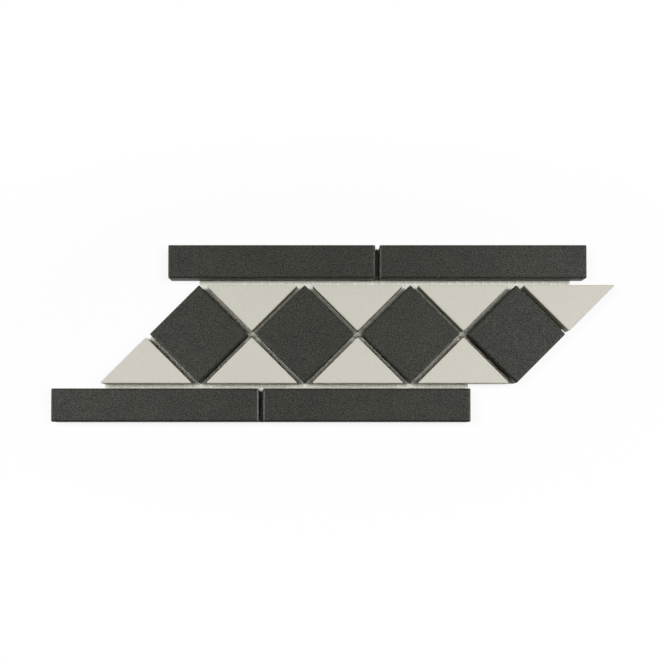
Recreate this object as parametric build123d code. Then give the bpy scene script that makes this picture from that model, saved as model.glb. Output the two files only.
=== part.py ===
from build123d import *
import math
import os

# A sheet of geometric border tile: unglazed pressed tiles, glued face up on one glass-fibre net.
# A row of squares set on their points runs between two rows of strips, and triangles fill the
# pockets above and below the squares. The ends of the sheet slant, so that sheets interlock.
# Millimetres. +X runs along the border, +Y across it and +Z up from the floor.
# The sheet is laid out from the centre of its first square and then moved, so that the origin
# is at the middle of its underside.

# Tile sizes
SQUARE_SIDE = 50.0
STRIP_WIDTH = 24.0
TILE_THICKNESS = 9.0

# The repeat of the border
SQUARE_COUNT = 4
SQUARES_PER_STRIP = 2

# Open joints, which are grouted once the sheet is laid
TIP_JOINT = 5.2
FIELD_JOINT = 3.4
STRIP_END_JOINT = 3.0
UPPER_JOINT = 4.8
LOWER_JOINT = 3.6

# Where each row of strips starts, from the centre of the first square
UPPER_STRIP_START = -22.2
LOWER_STRIP_START = -105.8

# Edges of a pressed tile: its corners and tips are blunt, and its arrises fall away gently
CORNER_CUT = 0.8
TIP_CUT = 1.0
ARRIS_WIDTH = 1.3
ARRIS_DROP = 0.55
BACK_BEVEL = 0.5

# Shallow grooves in the back of each tile, which key it to its bed
GROOVE_WIDTH = 4.0
GROOVE_DEPTH = 0.6
GROOVE_SPACING = 6.5
GROOVE_LAND = 3.5

# The net: flat strands, one set along X laid under another along Y
STRAND_SPACING = 6.22
STRAND_WIDTH = 1.2
STRAND_HEIGHT = 0.25
STRAND_TAIL = 1.5
STRAND_ALONG_X_AT = -37.0
STRAND_ALONG_Y_AT = -30.6
NET_SIDE_INSET = 5.0
NET_LEFT_INSET = 3.0
NET_RIGHT_INSET = 27.2
NET_NODES = ["net_left", "net_middle", "net_right"]

# Sizes that follow from those above
HALF_DIAGONAL = SQUARE_SIDE / math.sqrt(2)
REPEAT = 2 * HALF_DIAGONAL + TIP_JOINT
STRIP_LENGTH = SQUARES_PER_STRIP * REPEAT - STRIP_END_JOINT
STRIP_COUNT = SQUARE_COUNT // SQUARES_PER_STRIP
TRIANGLE_APEX = FIELD_JOINT * math.sqrt(2) - TIP_JOINT / 2
TRIANGLE_HEIGHT = HALF_DIAGONAL - TRIANGLE_APEX
UPPER_STRIP_Y = HALF_DIAGONAL + UPPER_JOINT + STRIP_WIDTH / 2
LOWER_STRIP_Y = -HALF_DIAGONAL - LOWER_JOINT - STRIP_WIDTH / 2
NET_HEIGHT = 2 * STRAND_HEIGHT


def pressed_tile(sharp, blunt, grooves):
    """A tile with its back on z = 0: eased arrises on the face, a bevelled and grooved back.

    Its outline is given twice, with sharp corners and with blunt ones."""
    tile = extrude(sharp, TILE_THICKNESS)
    face = tile.faces().sort_by(Axis.Z)[-1]
    tile = chamfer(face.edges(), ARRIS_WIDTH, ARRIS_DROP, reference=face)
    tile = chamfer(tile.faces().sort_by(Axis.Z)[0].edges(), BACK_BEVEL)
    tile &= extrude(blunt, TILE_THICKNESS)
    for y, length in grooves:
        tile -= Pos(0, y, GROOVE_DEPTH / 2) * Box(length, GROOVE_WIDTH, GROOVE_DEPTH)
    return tile


def rectangle_tile(length, width):
    """A rectangular tile about its middle, its grooves along X and evenly spread across Y."""
    groove_length = length - 2 * GROOVE_LAND
    count = int((width - 2 * GROOVE_LAND - GROOVE_WIDTH) / GROOVE_SPACING) + 1
    first = -(count - 1) * GROOVE_SPACING / 2
    grooves = [(first + row * GROOVE_SPACING, groove_length) for row in range(count)]
    sharp = Rectangle(length, width)
    blunt = chamfer(sharp.vertices(), CORNER_CUT)
    return pressed_tile(sharp, blunt, grooves)


def triangle_tile(height):
    """A right-angled triangle, its long side along y = 0 and its right angle at y = -height."""
    sharp = Polygon((-height, 0), (0, -height), (height, 0), align=None)
    blunt = chamfer(sharp.vertices().sort_by(Axis.Y)[1:], TIP_CUT)
    blunt = chamfer(blunt.vertices().sort_by(Axis.Y)[0], CORNER_CUT)
    land_at_apex = GROOVE_LAND * math.sqrt(2)
    grooves = []
    near = GROOVE_LAND
    half_length = height - land_at_apex - near - GROOVE_WIDTH
    while half_length > GROOVE_WIDTH / 2:
        grooves.append((-near - GROOVE_WIDTH / 2, 2 * half_length))
        near += GROOVE_SPACING
        half_length -= GROOVE_SPACING
    return pressed_tile(sharp, blunt, grooves)


def strips():
    """The two rows of strips that edge the border, each row shifted along X from the other."""
    strip = rectangle_tile(STRIP_LENGTH, STRIP_WIDTH)
    rows = [("upper", UPPER_STRIP_START, UPPER_STRIP_Y), ("lower", LOWER_STRIP_START, LOWER_STRIP_Y)]
    placed = {}
    for row, start, y in rows:
        for index in range(STRIP_COUNT):
            x = start + STRIP_LENGTH / 2 + index * (STRIP_LENGTH + STRIP_END_JOINT)
            placed[f"strip_{row}_{index + 1}"] = Pos(x, y, NET_HEIGHT) * strip
    return placed


def squares():
    """The row of squares, each standing on its point."""
    square = Rot(0, 0, 45) * rectangle_tile(SQUARE_SIDE, SQUARE_SIDE)
    return {f"square_{index + 1}": Pos(index * REPEAT, 0, NET_HEIGHT) * square
            for index in range(SQUARE_COUNT)}


def triangles():
    """The fillers: above and to the right of each square, and below and to the left of it."""
    triangle = triangle_tile(TRIANGLE_HEIGHT)
    placed = {}
    for index in range(SQUARE_COUNT):
        right = (index + 0.5) * REPEAT
        left = (index - 0.5) * REPEAT
        upper = Pos(right, HALF_DIAGONAL, NET_HEIGHT) * triangle
        lower = Pos(left, -HALF_DIAGONAL, NET_HEIGHT) * Rot(0, 0, 180) * triangle
        placed[f"triangle_upper_{index + 1}"] = upper
        placed[f"triangle_lower_{index + 1}"] = lower
    return placed


def strand_places(known, lowest, highest):
    """Places of evenly spaced strands between two limits, one of them through a known place."""
    first = math.ceil((lowest - known) / STRAND_SPACING)
    last = math.floor((highest - known) / STRAND_SPACING)
    return [known + step * STRAND_SPACING for step in range(first, last + 1)]


def net_crossings():
    """Where strands cross: a list of crossing heights for each strand along Y.

    The net stops inside the outer edges of the strips, and its ends slant with the sheet."""
    lowest = LOWER_STRIP_Y - STRIP_WIDTH / 2 + NET_SIDE_INSET
    highest = UPPER_STRIP_Y + STRIP_WIDTH / 2 - NET_SIDE_INSET
    leftmost = LOWER_STRIP_START + NET_SIDE_INSET
    rightmost = UPPER_STRIP_START + SQUARE_COUNT * REPEAT - STRIP_END_JOINT - NET_SIDE_INSET
    left_slant = -HALF_DIAGONAL + NET_LEFT_INSET
    right_slant = (SQUARE_COUNT - 1) * REPEAT + HALF_DIAGONAL - NET_RIGHT_INSET
    heights = strand_places(STRAND_ALONG_X_AT, lowest, highest)
    columns = {}
    for x in strand_places(STRAND_ALONG_Y_AT, leftmost, rightmost):
        crossed = [y for y in heights if left_slant <= x - y <= right_slant]
        if crossed:
            columns[x] = crossed
    return columns


def strand(start, end, across, level, along_x):
    """One flat strand between two places, on the lower or the upper level of the net."""
    length = end - start
    middle = (start + end) / 2
    height = (level + 0.5) * STRAND_HEIGHT
    if along_x:
        return Pos(middle, across, height) * Box(length, STRAND_WIDTH, STRAND_HEIGHT)
    return Pos(across, middle, height) * Box(STRAND_WIDTH, length, STRAND_HEIGHT)


def net_piece(columns, places):
    """The part of the net with the strands along Y at the given places, bonded at each crossing.

    A strand along X that runs on into the next part is cut midway between two crossings."""
    half_spacing = STRAND_SPACING / 2
    before = max((x for x in columns if x < places[0]), default=None)
    after = min((x for x in columns if x > places[-1]), default=None)
    bars = []
    for x in places:
        bars.append(strand(columns[x][0] - STRAND_TAIL, columns[x][-1] + STRAND_TAIL, x, 1, False))
    for y in sorted({y for x in places for y in columns[x]}):
        crossed = [x for x in places if y in columns[x]]
        runs_left = crossed[0] == places[0] and before is not None and y in columns[before]
        runs_right = crossed[-1] == places[-1] and after is not None and y in columns[after]
        start = crossed[0] - (half_spacing if runs_left else STRAND_TAIL)
        end = crossed[-1] + (half_spacing if runs_right else STRAND_TAIL)
        bars.append(strand(start, end, y, 0, True))
    return bars[0].fuse(*bars[1:])


def net():
    """The net in parts that run on into each other, with about as many crossings in each."""
    columns = net_crossings()
    total = sum(len(crossed) for crossed in columns.values())
    groups = [[] for _ in NET_NODES]
    counted = 0
    for x, crossed in columns.items():
        groups[counted * len(NET_NODES) // total].append(x)
        counted += len(crossed)
    return {name: net_piece(columns, places) for name, places in zip(NET_NODES, groups)}


def centred(pieces):
    """The pieces moved so that the origin is at the middle of the sheet's underside."""
    box = Compound(children=[Part(piece.wrapped) for piece in pieces.values()]).bounding_box()
    middle = box.center()
    return {name: Pos(-middle.X, -middle.Y, -box.min.Z) * piece for name, piece in pieces.items()}


os.makedirs("parts", exist_ok=True)
for name, piece in centred({**strips(), **squares(), **triangles(), **net()}).items():
    export_step(piece, f"parts/{name}.step")
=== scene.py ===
import math

import bpy
import numpy as np
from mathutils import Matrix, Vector
from mathutils.geometry import delaunay_2d_cdt, tessellate_polygon


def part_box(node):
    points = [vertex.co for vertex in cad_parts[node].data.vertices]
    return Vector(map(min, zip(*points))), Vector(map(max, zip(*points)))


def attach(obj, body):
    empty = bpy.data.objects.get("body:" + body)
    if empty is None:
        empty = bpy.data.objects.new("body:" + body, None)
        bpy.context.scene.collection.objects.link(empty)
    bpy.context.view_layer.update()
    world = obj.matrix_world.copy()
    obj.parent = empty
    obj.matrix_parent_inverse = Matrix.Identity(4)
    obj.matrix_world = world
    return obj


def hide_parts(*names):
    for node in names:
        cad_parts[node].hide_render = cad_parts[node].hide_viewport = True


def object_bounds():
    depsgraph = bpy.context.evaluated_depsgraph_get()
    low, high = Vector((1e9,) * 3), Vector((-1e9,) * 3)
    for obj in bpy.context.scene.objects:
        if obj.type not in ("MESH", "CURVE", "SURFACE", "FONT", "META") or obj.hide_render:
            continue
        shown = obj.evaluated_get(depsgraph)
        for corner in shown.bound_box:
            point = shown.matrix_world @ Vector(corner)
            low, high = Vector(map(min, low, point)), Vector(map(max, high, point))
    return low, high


# A sheet of unglazed border tile on its net, seen almost from above on a white floor.
# Metres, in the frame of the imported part: +X along the border, +Y across it, +Z up.

MM = 0.001
SEED = 41

# Corners of a tile, seen close: round, where the solids have them cut off
CORNER_CUT = 0.8 * MM
CORNER_ROUND = 0.95 * MM
TIP_ROUND = 0.6 * MM
LEAST_ROUND = 0.12 * MM
ARC_STEPS = 6
EDGE_STEP = 0.8 * MM

# Its arris, from the flat face to the side: pairs of an inset from the outline and a drop from
# the face, which each kind of tile scales to its own size in millimetres
ARRIS_PROFILE = [(1.55, 0.0), (1.4, 0.0), (1.2, 0.04), (0.95, 0.13), (0.6, 0.27), (0.3, 0.41), (0.12, 0.53),
                 (0.03, 0.7), (0.0, 0.95)]
ARRIS_SCALES = {"dark_tile": 1.0, "pale_tile": 0.6}
SIDE_DRAFT = 0.1 * MM
BACK_BEVEL = 0.5 * MM
SHARP_ANGLE = math.radians(50)

# How smooth the sides are, compared with the arris, and how much painted shade darkens them where they begin
SIDE_SMOOTHNESS = 0.5
PAINTED_SHADE_AT_TOP = 0.6

# Filling a flat outline: triangles inside its edges only, and points this close become one
INSIDE_EDGES = 1
MERGE_DISTANCE = 1e-8

# What firing and handling took off the arris
WEAR = 0.04 * MM
CHIP_DEPTH = 0.16 * MM
CHIP_SPACING = 45 * MM
CHIP_HALF_LENGTH = 0.8 * MM
LEAST_CHIP = 0.4

# Keying grooves in the back of a tile
GROOVE_WIDTH = 4.0 * MM
GROOVE_DEPTH = 0.6 * MM
GROOVE_SPACING = 6.5 * MM
GROOVE_LAND = 3.5 * MM

# The net, a leno weave: single flat yarns along X, the weft, and pairs along Y, the warp, that cross
# at each of them. The yarns keep to the strands of the CAD net, apart from a slight wander.
STRAND_SPACING = 6.22 * MM
STRAND_ALONG_X_AT = -37.0 * MM
STRAND_ALONG_Y_AT = -30.6 * MM
STRAND_TAIL = 1.5 * MM
NET_SIDE_INSET = 5.0 * MM
NET_LEFT_INSET = 3.0 * MM
NET_RIGHT_INSET = 27.2 * MM
WEFT_WIDTH = 0.8 * MM
WARP_WIDTH = 0.7 * MM
YARN_HEIGHT = 0.26 * MM
YARN_WANDER = 0.15 * MM
WEFT_PULL = -0.2 * MM
WARP_OFFSET = 0.3 * MM
WARP_RISE = 0.12 * MM
WARP_SPREAD = 0.12 * MM
WARP_SPREAD_SHAPE = (1.2, 1.6)
WARP_DRIFT = 0.2 * YARN_WANDER
YARN_SIDES = 6
STEPS_PER_CELL = 6

# Fired clay: colour and gloss follow the same grain, and the arris is smoother than the face
GRAIN_RAMP = (0.34, 0.66)
SOFT_RAMP = (0.3, 0.7)
SPECULAR = 0.5
SPECULAR_SHARE = 0.5
MOTTLE_SIZE = 22 * MM
MOTTLE_SHARE = 0.25
SPECK_SIZE = 1.3 * MM
SPECK_RIM = 0.05
ROUGHNESS_SIZE = 3 * MM
ROUGHNESS_RANGE = 0.06
ARRIS_ROUGHNESS = 0.38
# Share of blue kept in the painted shade on the sides, which makes that shade warm
PAINTED_SHADE_BLUE_SHARE = 0.75
CLAY_BUMP_SIZE = 1.1 * MM
CLAY_BUMP_HEIGHT = 0.05 * MM
CLAY_BUMP_STRENGTH = 0.35

# Coated glass yarn
YARN_DARK = (0.88, 0.865, 0.8, 1)
YARN_LIGHT = (0.95, 0.935, 0.87, 1)
YARN_TONE_SIZE = 1.8 * MM
YARN_ROUGHNESS = 0.5
YARN_BUMP_SIZE = 0.2 * MM
YARN_BUMP_HEIGHT = 0.03 * MM
YARN_BUMP_STRENGTH = 0.5

# The camera looks almost straight down, and the sheet lies above the middle of its view
CAMERA_PLACE = Vector((-0.3 * MM, -81.2 * MM, 463.9 * MM))
CAMERA_TILT = math.radians(0.68)
CAMERA_SHIFT = 0.16
SENSOR = 36.0
LENS = 0.9556 * SENSOR

# Two softboxes, one past each end of the sheet, turned towards a place in front of it
LAMP_MIDDLE = Vector((0.0, 0.03, 0.0))
LAMP_AIM = Vector((0.0, -0.9, 0.0))
LAMP_DISTANCE = 1.1
LAMP_RISE = math.radians(50)
LAMP_LENGTH = 0.8
LAMP_HEIGHT = 0.3
LAMP_POWERS = {-1: 8.75, 1: 10.0}
AMBIENT = 0.015

# The floor and the wall round it, and the patch of floor under the net, which is a little darker
FLOOR_RADIUS = 15.0
FLOOR_SIDES = 48
WALL_HEIGHT = 9.0
FLOOR_COLOUR = (0.93, 0.93, 0.93, 1)
FLOOR_UNDER_COLOUR = (0.79, 0.775, 0.68, 1)
FLOOR_UNDER_ROUGHNESS = 0.9
UNDER_MARGIN = 1.4 * MM

# The share of plain white in the floor as it is seen: less inside an ellipse with these half axes,
# where shadows show, and all of it further off
FLOOR_GLOW_NEAR = 0.87
FLOOR_GLOW_SPAN = (0.22, 0.09)
FLOOR_GLOW_FROM = 1.0
FLOOR_GLOW_FULL = 1.7

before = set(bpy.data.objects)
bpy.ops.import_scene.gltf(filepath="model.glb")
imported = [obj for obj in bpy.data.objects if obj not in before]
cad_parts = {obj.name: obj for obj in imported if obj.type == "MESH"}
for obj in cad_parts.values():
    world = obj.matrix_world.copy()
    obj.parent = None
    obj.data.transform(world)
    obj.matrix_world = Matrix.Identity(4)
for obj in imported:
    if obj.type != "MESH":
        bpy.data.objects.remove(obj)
cad_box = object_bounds()
STRIPS = sorted(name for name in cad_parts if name.startswith("strip_"))
SQUARES = sorted(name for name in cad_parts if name.startswith("square_"))
TRIANGLES = sorted(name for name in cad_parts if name.startswith("triangle_"))
NETS = sorted(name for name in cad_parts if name.startswith("net_"))
rng = np.random.default_rng(SEED)


# Shapes of the tiles

def unit(vector):
    """A vector of the same direction and length one."""
    return vector / np.linalg.norm(vector)


def rounded_outline(corners, radii, inset):
    """A convex outline, anticlockwise, moved inwards and with rounded corners.

    Returns its points and their outward normals. Their number doesn't depend on the inset."""
    arcs = []
    for index, corner in enumerate(corners):
        before = unit(corners[index - 1] - corner)
        after = unit(corners[(index + 1) % len(corners)] - corner)
        half = math.acos(before @ after) / 2
        radius = max(radii[index] - inset, LEAST_ROUND)
        centre = corner + unit(before + after) * (inset + radius) / math.sin(half)
        angles = math.atan2(before[0], -before[1]) + np.linspace(0, math.pi - 2 * half, ARC_STEPS + 1)
        outward = np.column_stack([np.cos(angles), np.sin(angles)])
        arcs.append((centre + outward * radius, outward))
    points, normals = [], []
    for index, (arc, outward) in enumerate(arcs):
        following = (index + 1) % len(arcs)
        steps = round(np.linalg.norm(corners[following] - corners[index]) / EDGE_STEP)
        shares = np.arange(1, steps)[:, None] / steps
        run = arcs[following][0][0] - arc[-1]
        points.extend([*arc, *(arc[-1] + run * shares)])
        normals.extend([*outward, *np.repeat(outward[-1:], steps - 1, axis=0)])
    return np.array(points), np.array(normals)


def worn_arris(points):
    """How deep the arris is worn at each point of an outline: a little all along, and a few chips."""
    lengths = np.linalg.norm(np.roll(points, -1, axis=0) - points, axis=1)
    along = np.concatenate([[0], np.cumsum(lengths)[:-1]])
    total = lengths.sum()
    rough = rng.random(len(points))
    rough = (rough + np.roll(rough, 1) + np.roll(rough, -1)) / 3
    wear = WEAR * rough
    for _ in range(max(1, round(total / CHIP_SPACING))):
        gap = np.abs(along - rng.random() * total)
        gap = np.minimum(gap, total - gap)
        size = rng.uniform(LEAST_CHIP, 1.0)
        wear = np.maximum(wear, CHIP_DEPTH * size * np.exp(-(gap / (CHIP_HALF_LENGTH * size)) ** 2))
    return wear


def filled(vertices, loops):
    """Triangles that fill a flat outline, given as the first loop, apart from the holes in it.

    The loops are lists of vertex numbers, and the triangles face up."""
    numbers = [index for loop in loops for index in loop]
    owner = [hole for hole, loop in enumerate(loops) for _ in loop]
    edges = []
    for loop in loops:
        first = len(edges)
        edges.extend((first + i, first + (i + 1) % len(loop)) for i in range(len(loop)))
    points = [Vector(vertices[index][:2]) for index in numbers]
    _, _, triangles, origins, _, _ = delaunay_2d_cdt(points, edges, [], INSIDE_EDGES, MERGE_DISTANCE)
    made = []
    for corners in triangles:
        a, b, c = [origins[corner][0] for corner in corners]
        in_hole = owner[a] > 0 and owner[a] == owner[b] == owner[c]
        if not in_hole:
            made.append((numbers[a], numbers[b], numbers[c]))
    return made


def tile_mesh(name, corners, radii, base, top, grooves, scale):
    """A pressed tile: flat face, rounded and slightly worn arris, drafted sides, grooved back.

    Its points carry how smooth the surface is there and how much painted shade its colour takes on the
    sides."""
    # Each ring has an inset, a height, its share of the wear, its smoothness and its share of painted shade
    rings = []
    last = len(ARRIS_PROFILE) - 1
    for step, (inset, drop) in enumerate(ARRIS_PROFILE):
        worn = math.sin(math.pi * step / last) if step > 1 else 0.0
        smooth = worn if step < last else SIDE_SMOOTHNESS
        # Painted shade on the sides: full on the walls and part of it on the last arris ring, it darkens
        # their colour
        painted_shade = {last - 1: PAINTED_SHADE_AT_TOP, last: 1.0}.get(step, 0.0)
        rings.append((inset * scale, top - drop * scale, worn, smooth, painted_shade))
    rings.append((SIDE_DRAFT / 2, (top + base) / 2, 0.0, SIDE_SMOOTHNESS, 1.0))
    rings.append((SIDE_DRAFT, base + BACK_BEVEL, 0.0, SIDE_SMOOTHNESS, 1.0))
    rings.append((SIDE_DRAFT + BACK_BEVEL, base, 0.0, SIDE_SMOOTHNESS, 0.0))
    wear = worn_arris(rounded_outline(corners, radii, 0)[0])
    count = len(wear)
    vertices, arris, side = [], [], []
    for inset, height, worn, smooth, painted_shade in rings:
        points, normals = rounded_outline(corners, radii, inset)
        depth = wear * worn / math.sqrt(2)
        vertices.extend(np.column_stack([points - normals * depth[:, None], height - depth]))
        arris.extend([smooth] * count)
        side.extend([painted_shade] * count)
    faces = filled(vertices, [list(range(count))])
    for ring in range(len(rings) - 1):
        upper, lower = ring * count, (ring + 1) * count
        for i in range(count):
            j = (i + 1) % count
            faces.append((upper + i, lower + i, lower + j, upper + j))
    loops = [list(range((len(rings) - 1) * count, len(rings) * count))]
    for groove in grooves:
        size = len(groove)
        mouth = [len(vertices) + i for i in range(size)]
        bed = [len(vertices) + size + i for i in range(size)]
        vertices.extend((x, y, base) for x, y in groove)
        vertices.extend((x, y, base + GROOVE_DEPTH) for x, y in groove)
        arris.extend([0.0] * 2 * size)
        side.extend([0.0] * 2 * size)
        loops.append(mouth)
        for i in range(size):
            j = (i + 1) % size
            faces.append((mouth[i], bed[i], bed[j], mouth[j]))
        faces.append(tuple(reversed(bed)))
    faces.extend((c, b, a) for a, b, c in filled(vertices, loops))
    mesh = bpy.data.meshes.new(name)
    mesh.from_pydata([tuple(v) for v in vertices], [], faces)
    # The side value is the mask of painted shade on the sides
    for label, values in (("arris", arris), ("side", side)):
        attribute = mesh.attributes.new(label, "FLOAT", "POINT")
        attribute.data.foreach_set("value", np.array(values, np.float32))
    mesh.shade_smooth()
    mesh.set_sharp_from_angle(angle=SHARP_ANGLE)
    return mesh


def turned(points, angle, centre):
    """Points about the origin, turned by an angle and moved to a centre."""
    c, s = math.cos(angle), math.sin(angle)
    return np.asarray(points) @ np.array([[c, s], [-s, c]]) + centre


def groove_box(y, length):
    """The corners of one groove along X, anticlockwise."""
    x, half = length / 2, GROOVE_WIDTH / 2
    return [(-x, y - half), (x, y - half), (x, y + half), (-x, y + half)]


def rectangle(length, width):
    """The outline of a rectangular tile about the origin, and its grooves."""
    x, y = length / 2, width / 2
    corners = np.array([(-x, -y), (x, -y), (x, y), (-x, y)])
    count = int((width - 2 * GROOVE_LAND - GROOVE_WIDTH) / GROOVE_SPACING) + 1
    first = -(count - 1) * GROOVE_SPACING / 2
    grooves = [groove_box(first + row * GROOVE_SPACING, length - 2 * GROOVE_LAND) for row in range(count)]
    return corners, [CORNER_ROUND] * 4, grooves


def triangle(height):
    """The outline of a triangle with its long side on y = 0 and its right angle below, and its grooves."""
    corners = np.array([(-height, 0), (0, -height), (height, 0)])
    grooves = []
    near = GROOVE_LAND
    half_length = height - GROOVE_LAND * math.sqrt(2) - near - GROOVE_WIDTH
    while half_length > GROOVE_WIDTH / 2:
        grooves.append(groove_box(-near - GROOVE_WIDTH / 2, 2 * half_length))
        near += GROOVE_SPACING
        half_length -= GROOVE_SPACING
    return corners, [TIP_ROUND, CORNER_ROUND, TIP_ROUND], grooves


def add_tile(node, shape, angle, centre, slot, material):
    """One tile in the place of its CAD node."""
    low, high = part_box(node)
    corners, radii, grooves = shape
    placed = [turned(groove, angle, centre) for groove in grooves]
    scale = ARRIS_SCALES[slot] * MM
    mesh = tile_mesh(f"{node}.fired", turned(corners, angle, centre), radii, low.z, high.z, placed, scale)
    mesh.materials.append(material)
    piece = bpy.data.objects.new(f"{node}.fired", mesh)
    bpy.context.scene.collection.objects.link(piece)
    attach(piece, "root")
    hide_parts(node)


def add_tiles(dark, pale):
    """All sixteen tiles."""
    for node in STRIPS:
        low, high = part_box(node)
        size = high - low
        centre = np.array(((low + high) / 2)[:2])
        add_tile(node, rectangle(size.x, size.y), 0, centre, "dark_tile", dark)
    for node in SQUARES:
        low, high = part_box(node)
        side = (high.x - low.x + math.sqrt(2) * CORNER_CUT) / math.sqrt(2)
        centre = np.array(((low + high) / 2)[:2])
        add_tile(node, rectangle(side, side), math.radians(45), centre, "dark_tile", dark)
    for node in TRIANGLES:
        low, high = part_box(node)
        height = high.y - low.y + CORNER_CUT / math.sqrt(2)
        middle = (low.x + high.x) / 2
        if "upper" in node:
            add_tile(node, triangle(height), 0, np.array((middle, high.y)), "pale_tile", pale)
        else:
            add_tile(node, triangle(height), math.pi, np.array((middle, low.y)), "pale_tile", pale)


# The net

def net_lattice():
    """Where the yarns run, as the strands of the CAD net do.

    Returns the heights of those along X, and for each place along X of the others the heights it crosses."""
    first_low, first_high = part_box(SQUARES[0])
    last_low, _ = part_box(SQUARES[-1])
    origin = (first_low + first_high) / 2
    half_diagonal = (first_high.x - first_low.x) / 2 + CORNER_CUT / math.sqrt(2)
    uppers = [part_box(name) for name in STRIPS if "upper" in name]
    lowers = [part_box(name) for name in STRIPS if "lower" in name]
    lowest = min(low.y for low, high in lowers) + NET_SIDE_INSET
    highest = max(high.y for low, high in uppers) - NET_SIDE_INSET
    leftmost = min(low.x for low, high in lowers) + NET_SIDE_INSET
    rightmost = max(high.x for low, high in uppers) - NET_SIDE_INSET
    slant = origin.x - origin.y
    left_slant = slant - half_diagonal + NET_LEFT_INSET
    right_slant = slant + (last_low.x - first_low.x) + half_diagonal - NET_RIGHT_INSET

    def places(known, start, end):
        """Evenly spaced places between two limits, one of them known."""
        first = math.ceil((start - known) / STRAND_SPACING)
        last = math.floor((end - known) / STRAND_SPACING)
        return [known + step * STRAND_SPACING for step in range(first, last + 1)]

    heights = places(origin.y + STRAND_ALONG_X_AT, lowest, highest)
    columns = {}
    for x in places(origin.x + STRAND_ALONG_Y_AT, leftmost, rightmost):
        crossed = [y for y in heights if left_slant <= x - y <= right_slant]
        if crossed:
            columns[x] = crossed
    return heights, columns


def yarn(path, width, height, along_x):
    """A flat yarn along a path: rings of a flattened round, closed at both ends."""
    angles = np.linspace(0, 2 * math.pi, YARN_SIDES, endpoint=False)
    across = np.cos(angles) * width / 2
    up = np.sin(angles) * height / 2
    rings = np.repeat(path[:, None, :], YARN_SIDES, axis=1)
    rings[:, :, 1 if along_x else 0] += across
    rings[:, :, 2] += up
    steps = len(path)
    faces = []
    for step in range(steps - 1):
        here, there = step * YARN_SIDES, (step + 1) * YARN_SIDES
        for i in range(YARN_SIDES):
            j = (i + 1) % YARN_SIDES
            quad = (here + i, here + j, there + j, there + i)
            faces.append(quad if along_x else quad[::-1])
    start = tuple(range(YARN_SIDES))
    end = tuple((steps - 1) * YARN_SIDES + i for i in range(YARN_SIDES))
    faces.append(start[::-1] if along_x else start)
    faces.append(end if along_x else end[::-1])
    return rings.reshape(-1, 3), faces


def wander(count):
    """A slow random drift with the given number of steps, about zero."""
    drift = np.cumsum(rng.normal(0, 1, count))
    drift -= np.linspace(drift[0], drift[-1], count)
    return YARN_WANDER * drift / max(1.0, np.abs(drift).max())


def add_net(material):
    """The woven net: one mesh of all its yarns, in the place of the CAD net."""
    heights, columns = net_lattice()
    low = min(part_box(name)[0].z for name in NETS)
    high = max(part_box(name)[1].z for name in NETS)
    middle = (low + high) / 2
    drift_x = {x: rng.normal(0, WARP_DRIFT) for x in columns}
    yarns = []
    for y in heights:
        crossed = [x for x in columns if y in columns[x]]
        start, end = crossed[0] - STRAND_TAIL, crossed[-1] + STRAND_TAIL
        steps = len(crossed) * STEPS_PER_CELL // 2
        xs = np.linspace(start, end, steps)
        ys = y + WEFT_PULL + wander(steps)
        zs = np.full(steps, middle)
        yarns.append(yarn(np.column_stack([xs, ys, zs]), WEFT_WIDTH, YARN_HEIGHT, True))
    for x, crossed in columns.items():
        cells = len(crossed) + 1
        ends = [crossed[0] - STRAND_TAIL, *crossed, crossed[-1] + STRAND_TAIL]
        spreads = WARP_SPREAD * rng.beta(*WARP_SPREAD_SHAPE, cells)
        for side in (-1, 1):
            path = []
            for cell in range(cells):
                turn = side * (-1) ** cell
                steps = np.arange(STEPS_PER_CELL + (cell == cells - 1)) / STEPS_PER_CELL
                ys = ends[cell] + (ends[cell + 1] - ends[cell]) * steps
                if cell == 0:
                    lobe = np.sin(math.pi / 2 * (1 - steps))
                elif cell == cells - 1:
                    lobe = np.sin(math.pi / 2 * steps)
                else:
                    lobe = np.sin(math.pi * steps)
                xs = x + drift_x[x] + turn * (WARP_OFFSET + spreads[cell] * lobe)
                rise = -turn * np.cos(math.pi * steps)
                path.extend(np.column_stack([xs, ys, middle + WARP_RISE * rise]))
            yarns.append(yarn(np.array(path), WARP_WIDTH, YARN_HEIGHT, False))
    vertices, faces = [], []
    first = 0
    for points, sides in yarns:
        vertices.append(points)
        faces.extend(tuple(first + i for i in corners) for corners in sides)
        first += len(points)
    mesh = bpy.data.meshes.new("net.woven")
    mesh.from_pydata(np.concatenate(vertices).tolist(), [], faces)
    mesh.shade_smooth()
    mesh.materials.append(material)
    piece = bpy.data.objects.new("net.woven", mesh)
    bpy.context.scene.collection.objects.link(piece)
    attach(piece, "root")
    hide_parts(*NETS)


# Materials

def new_material(name):
    """A node material with a Principled shader, its node tree and that shader."""
    material = bpy.data.materials.new(name)
    material.use_nodes = True
    tree = material.node_tree
    return material, tree, tree.nodes["Principled BSDF"]


def new_node(tree, kind, **values):
    """A new node, its inputs set by name."""
    made = tree.nodes.new(kind)
    for name, value in values.items():
        made.inputs[name].default_value = value
    return made


def noise(tree, size, detail=2.0, roughness=0.5):
    """Noise through the body of the object, with features of about the given size in metres."""
    coordinates = tree.nodes.new("ShaderNodeTexCoord")
    made = new_node(tree, "ShaderNodeTexNoise", Scale=1 / size, Detail=detail, Roughness=roughness)
    tree.links.new(coordinates.outputs["Object"], made.inputs["Vector"])
    return made.outputs["Fac"]


def ramp(tree, value, stops):
    """A colour ramp on a value, with two stops: each a place and a colour or a grey level."""
    made = tree.nodes.new("ShaderNodeValToRGB")
    for element, (place, colour) in zip(made.color_ramp.elements, stops):
        element.position = place
        element.color = colour if isinstance(colour, tuple) else (colour, colour, colour, 1)
    tree.links.new(value, made.inputs["Fac"])
    return made.outputs["Color"]


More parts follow.
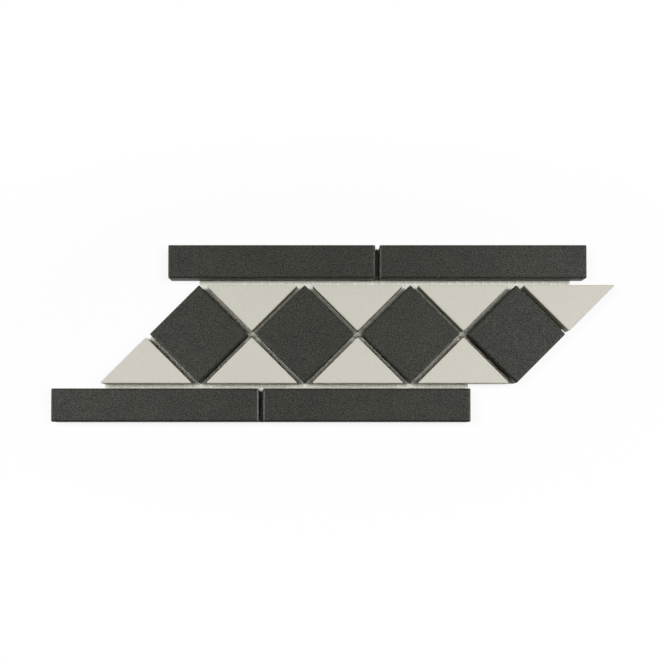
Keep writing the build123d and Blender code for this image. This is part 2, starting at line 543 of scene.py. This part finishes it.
def mix(tree, first, second, blend="MIX", amount=1.0):
    """Two colours mixed. Each may be a socket or a colour, and the amount a socket or a number."""
    made = tree.nodes.new("ShaderNodeMix")
    made.data_type = "RGBA"
    made.blend_type = blend
    for name, value in (("Factor", amount), ("A", first), ("B", second)):
        socket = next(s for s in made.inputs if s.name == name and s.enabled)
        if isinstance(value, bpy.types.NodeSocket):
            tree.links.new(value, socket)
        else:
            socket.default_value = value
    return next(s for s in made.outputs if s.enabled)


def grain_bump(tree, shader, size, height, strength):
    """A fine grain on the surface."""
    bump = new_node(tree, "ShaderNodeBump", Strength=strength, Distance=height)
    tree.links.new(noise(tree, size, detail=3.0, roughness=0.6), bump.inputs["Height"])
    tree.links.new(bump.outputs["Normal"], shader.inputs["Normal"])


def scaled(colour, factor):
    """A colour made lighter or darker."""
    return tuple(channel * factor for channel in colour[:3]) + (1,)


def spread(middle, share):
    """Two values, as far below a middle value as above it, by a share of it."""
    return middle * (1 - share), middle * (1 + share)


def point_value(tree, name):
    """The value that the points of a mesh carry under a name."""
    made = tree.nodes.new("ShaderNodeAttribute")
    made.attribute_name = name
    return made.outputs["Fac"]


def fired_clay(name, body, grain, grain_size, specks, speck_share, roughness, painted_side_shade):
    """Unglazed vitrified clay: a body colour with fine grain, sparse specks and slow mottling.

    The sides may be darker and warmer than the face: painted shade."""
    material, tree, shader = new_material(name)
    level = noise(tree, grain_size, detail=1.5, roughness=0.6)
    tones = scaled(body, 1 - grain), scaled(body, 1 + grain)
    fine = ramp(tree, level, zip(GRAIN_RAMP, tones))
    slow = ramp(tree, noise(tree, MOTTLE_SIZE), zip(SOFT_RAMP, spread(1, grain * MOTTLE_SHARE)))
    colour = mix(tree, fine, slow, "MULTIPLY")
    stops = [(speck_share, 0.0), (speck_share + SPECK_RIM, 1.0)]
    speck = ramp(tree, noise(tree, SPECK_SIZE, detail=1.0), stops)
    colour = mix(tree, colour, specks, amount=speck)
    # Painted shade: the colour of the sides is multiplied darker and warmer by the side value
    painted_shade = (painted_side_shade, painted_side_shade, PAINTED_SHADE_BLUE_SHARE * painted_side_shade, 1)
    colour = mix(tree, colour, painted_shade, "MULTIPLY", point_value(tree, "side"))
    tree.links.new(colour, shader.inputs["Base Color"])
    limits = roughness - ROUGHNESS_RANGE, roughness + ROUGHNESS_RANGE
    dull = ramp(tree, noise(tree, ROUGHNESS_SIZE), zip(SOFT_RAMP, limits))
    smooth = (ARRIS_ROUGHNESS, ARRIS_ROUGHNESS, ARRIS_ROUGHNESS, 1)
    dull = mix(tree, dull, smooth, amount=point_value(tree, "arris"))
    tree.links.new(dull, shader.inputs["Roughness"])
    gloss = ramp(tree, level, zip(GRAIN_RAMP, spread(SPECULAR, grain * SPECULAR_SHARE)))
    tree.links.new(gloss, shader.inputs["Specular IOR Level"])
    grain_bump(tree, shader, CLAY_BUMP_SIZE, CLAY_BUMP_HEIGHT, CLAY_BUMP_STRENGTH)
    return material


def glass_yarn(name):
    """White coated glass-fibre yarn."""
    material, tree, shader = new_material(name)
    colour = ramp(tree, noise(tree, YARN_TONE_SIZE), zip(SOFT_RAMP, (YARN_DARK, YARN_LIGHT)))
    tree.links.new(colour, shader.inputs["Base Color"])
    shader.inputs["Roughness"].default_value = YARN_ROUGHNESS
    grain_bump(tree, shader, YARN_BUMP_SIZE, YARN_BUMP_HEIGHT, YARN_BUMP_STRENGTH)
    return material


def floor_open(name):
    """The white floor round the sheet: it keeps shadows near the sheet, and is plain white further off."""
    material, tree, shader = new_material(name)
    tree.nodes.remove(shader)
    diffuse = new_node(tree, "ShaderNodeBsdfDiffuse", Color=FLOOR_COLOUR)
    glow = new_node(tree, "ShaderNodeEmission", Strength=1.0)
    path = tree.nodes.new("ShaderNodeLightPath")
    seen = path.outputs["Is Camera Ray"]
    for kind in ("Is Glossy Ray", "Is Transmission Ray"):
        either = tree.nodes.new("ShaderNodeMath")
        either.operation = "MAXIMUM"
        tree.links.new(seen, either.inputs[0])
        tree.links.new(path.outputs[kind], either.inputs[1])
        seen = either.outputs[0]
    coordinates = tree.nodes.new("ShaderNodeTexCoord")
    spans = tree.nodes.new("ShaderNodeVectorMath")
    spans.operation = "DIVIDE"
    spans.inputs[1].default_value = (*FLOOR_GLOW_SPAN, 1)
    tree.links.new(coordinates.outputs["Object"], spans.inputs[0])
    far = tree.nodes.new("ShaderNodeVectorMath")
    far.operation = "LENGTH"
    tree.links.new(spans.outputs["Vector"], far.inputs[0])
    limits = {"From Min": FLOOR_GLOW_FROM, "From Max": FLOOR_GLOW_FULL,
              "To Min": FLOOR_GLOW_NEAR, "To Max": 1.0}
    share = new_node(tree, "ShaderNodeMapRange", **limits)
    tree.links.new(far.outputs["Value"], share.inputs["Value"])
    amount = tree.nodes.new("ShaderNodeMath")
    amount.operation = "MULTIPLY"
    tree.links.new(seen, amount.inputs[0])
    tree.links.new(share.outputs["Result"], amount.inputs[1])
    both = tree.nodes.new("ShaderNodeMixShader")
    tree.links.new(amount.outputs[0], both.inputs["Fac"])
    tree.links.new(diffuse.outputs[0], both.inputs[1])
    tree.links.new(glow.outputs[0], both.inputs[2])
    tree.links.new(both.outputs[0], tree.nodes["Material Output"].inputs["Surface"])
    return material


def floor_under(name):
    """The floor under the net, where it shows through the joints."""
    material, _, shader = new_material(name)
    shader.inputs["Base Color"].default_value = FLOOR_UNDER_COLOUR
    shader.inputs["Roughness"].default_value = FLOOR_UNDER_ROUGHNESS
    return material


# The stage

def net_outline():
    """The outline of the patch of floor that shows through the net, anticlockwise."""
    def edge(names, side, axis):
        """The least or the greatest place of some nodes along an axis."""
        pick = min if side == 0 else max
        return pick(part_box(name)[side][axis] for name in names)

    upper = [name for name in STRIPS if "upper" in name]
    lower = [name for name in STRIPS if "lower" in name]
    heights, columns = net_lattice()
    low_joint = edge(lower, 1, 1)
    high_joint = edge(upper, 0, 1)
    band_low, band_high = edge(SQUARES, 0, 1), edge(SQUARES, 1, 1)
    first_low, first_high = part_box(SQUARES[0])
    left_tip = (first_low.x + first_high.x) / 2 - UNDER_MARGIN
    left_foot = edge(TRIANGLES, 0, 0)
    last_low, last_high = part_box(SQUARES[-1])
    right_tip = (last_low.x + last_high.x) / 2
    right_foot = last_high.x

    def right_end(height):
        """Where the yarn nearest to a height ends at the right."""
        near = min(heights, key=lambda y: abs(y - height))
        return max(x for x in columns if near in columns[x]) + STRAND_TAIL

    low_end = right_end((low_joint + band_low) / 2)
    high_end = right_end((high_joint + band_high) / 2)
    return [
        (edge(lower, 0, 0), edge(lower, 0, 1)),
        (low_end, edge(lower, 0, 1)),
        (low_end, band_low),
        (right_tip, band_low),
        (right_foot, (band_low + band_high) / 2),
        (high_end, band_high),
        (high_end, edge(upper, 1, 1)),
        (left_tip, edge(upper, 1, 1)),
        (left_tip, band_high),
        (left_foot, band_low),
        (left_foot, low_joint),
        (edge(lower, 0, 0), low_joint),
    ]


def add_floor():
    """A white floor that turns up into a wall far off, with a patch of its own under the net."""
    level = cad_box[0].z
    bed = [Vector((x, y, level)) for x, y in net_outline()]
    far = []
    for side in range(FLOOR_SIDES):
        angle = 2 * math.pi * side / FLOOR_SIDES
        far.append(Vector((FLOOR_RADIUS * math.cos(angle), FLOOR_RADIUS * math.sin(angle), level)))
    top = [corner + Vector((0, 0, WALL_HEIGHT)) for corner in far]
    faces = [tuple(range(len(bed)))]
    faces.extend(tuple(corners) for corners in tessellate_polygon([bed, far]))
    first = len(bed)
    for i in range(FLOOR_SIDES):
        j = (i + 1) % FLOOR_SIDES
        faces.append((first + i, first + j, first + FLOOR_SIDES + j, first + FLOOR_SIDES + i))
    mesh = bpy.data.meshes.new("floor")
    mesh.from_pydata([*bed, *far, *top], [], faces)
    mesh.materials.append(floor_open("floor_open"))
    mesh.materials.append(floor_under("floor_under"))
    mesh.polygons[0].material_index = 1
    floor = bpy.data.objects.new("floor", mesh)
    bpy.context.scene.collection.objects.link(floor)


def add_lamps():
    """A softbox past each end of the sheet, and a little light from everywhere."""
    for side in (-1, 1):
        lamp = bpy.data.lights.new("softbox", "AREA")
        lamp.shape = "RECTANGLE"
        lamp.size = LAMP_LENGTH
        lamp.size_y = LAMP_HEIGHT
        lamp.energy = LAMP_POWERS[side]
        holder = bpy.data.objects.new("softbox", lamp)
        direction = Vector((side * math.cos(LAMP_RISE), 0, math.sin(LAMP_RISE)))
        holder.location = LAMP_MIDDLE + direction * LAMP_DISTANCE
        holder.rotation_euler = (holder.location - LAMP_AIM).to_track_quat("Z", "Y").to_euler()
        bpy.context.scene.collection.objects.link(holder)
    world = bpy.data.worlds.new("studio")
    world.use_nodes = True
    world.node_tree.nodes["Background"].inputs["Color"].default_value = (1, 1, 1, 1)
    world.node_tree.nodes["Background"].inputs["Strength"].default_value = AMBIENT
    bpy.context.scene.world = world


def add_camera():
    """The camera above the sheet."""
    camera = bpy.data.cameras.new("camera")
    camera.sensor_width = SENSOR
    camera.lens = LENS
    holder = bpy.data.objects.new("camera", camera)
    camera.shift_y = CAMERA_SHIFT
    holder.location = CAMERA_PLACE
    holder.rotation_euler = (CAMERA_TILT, 0, 0)
    bpy.context.scene.collection.objects.link(holder)
    bpy.context.scene.camera = holder


# The sides get painted shade: the pale tiles' sides are darkened to less than half, and the dark tiles' are
# only made warmer
dark_clay = fired_clay("dark_clay", body=(0.0168, 0.0178, 0.0107, 1), grain=0.8, grain_size=0.8 * MM,
                       specks=(0.04, 0.042, 0.032, 1), speck_share=0.7, roughness=0.65, painted_side_shade=1.0)
pale_clay = fired_clay("pale_clay", body=(0.6, 0.575, 0.505, 1), grain=0.03, grain_size=0.9 * MM,
                       specks=(0.5, 0.47, 0.4, 1), speck_share=0.72, roughness=0.6, painted_side_shade=0.42)
add_tiles(dark_clay, pale_clay)
add_net(glass_yarn("glass_yarn"))
add_floor()
add_lamps()
add_camera()
bpy.context.scene.view_settings.view_transform = "Standard"
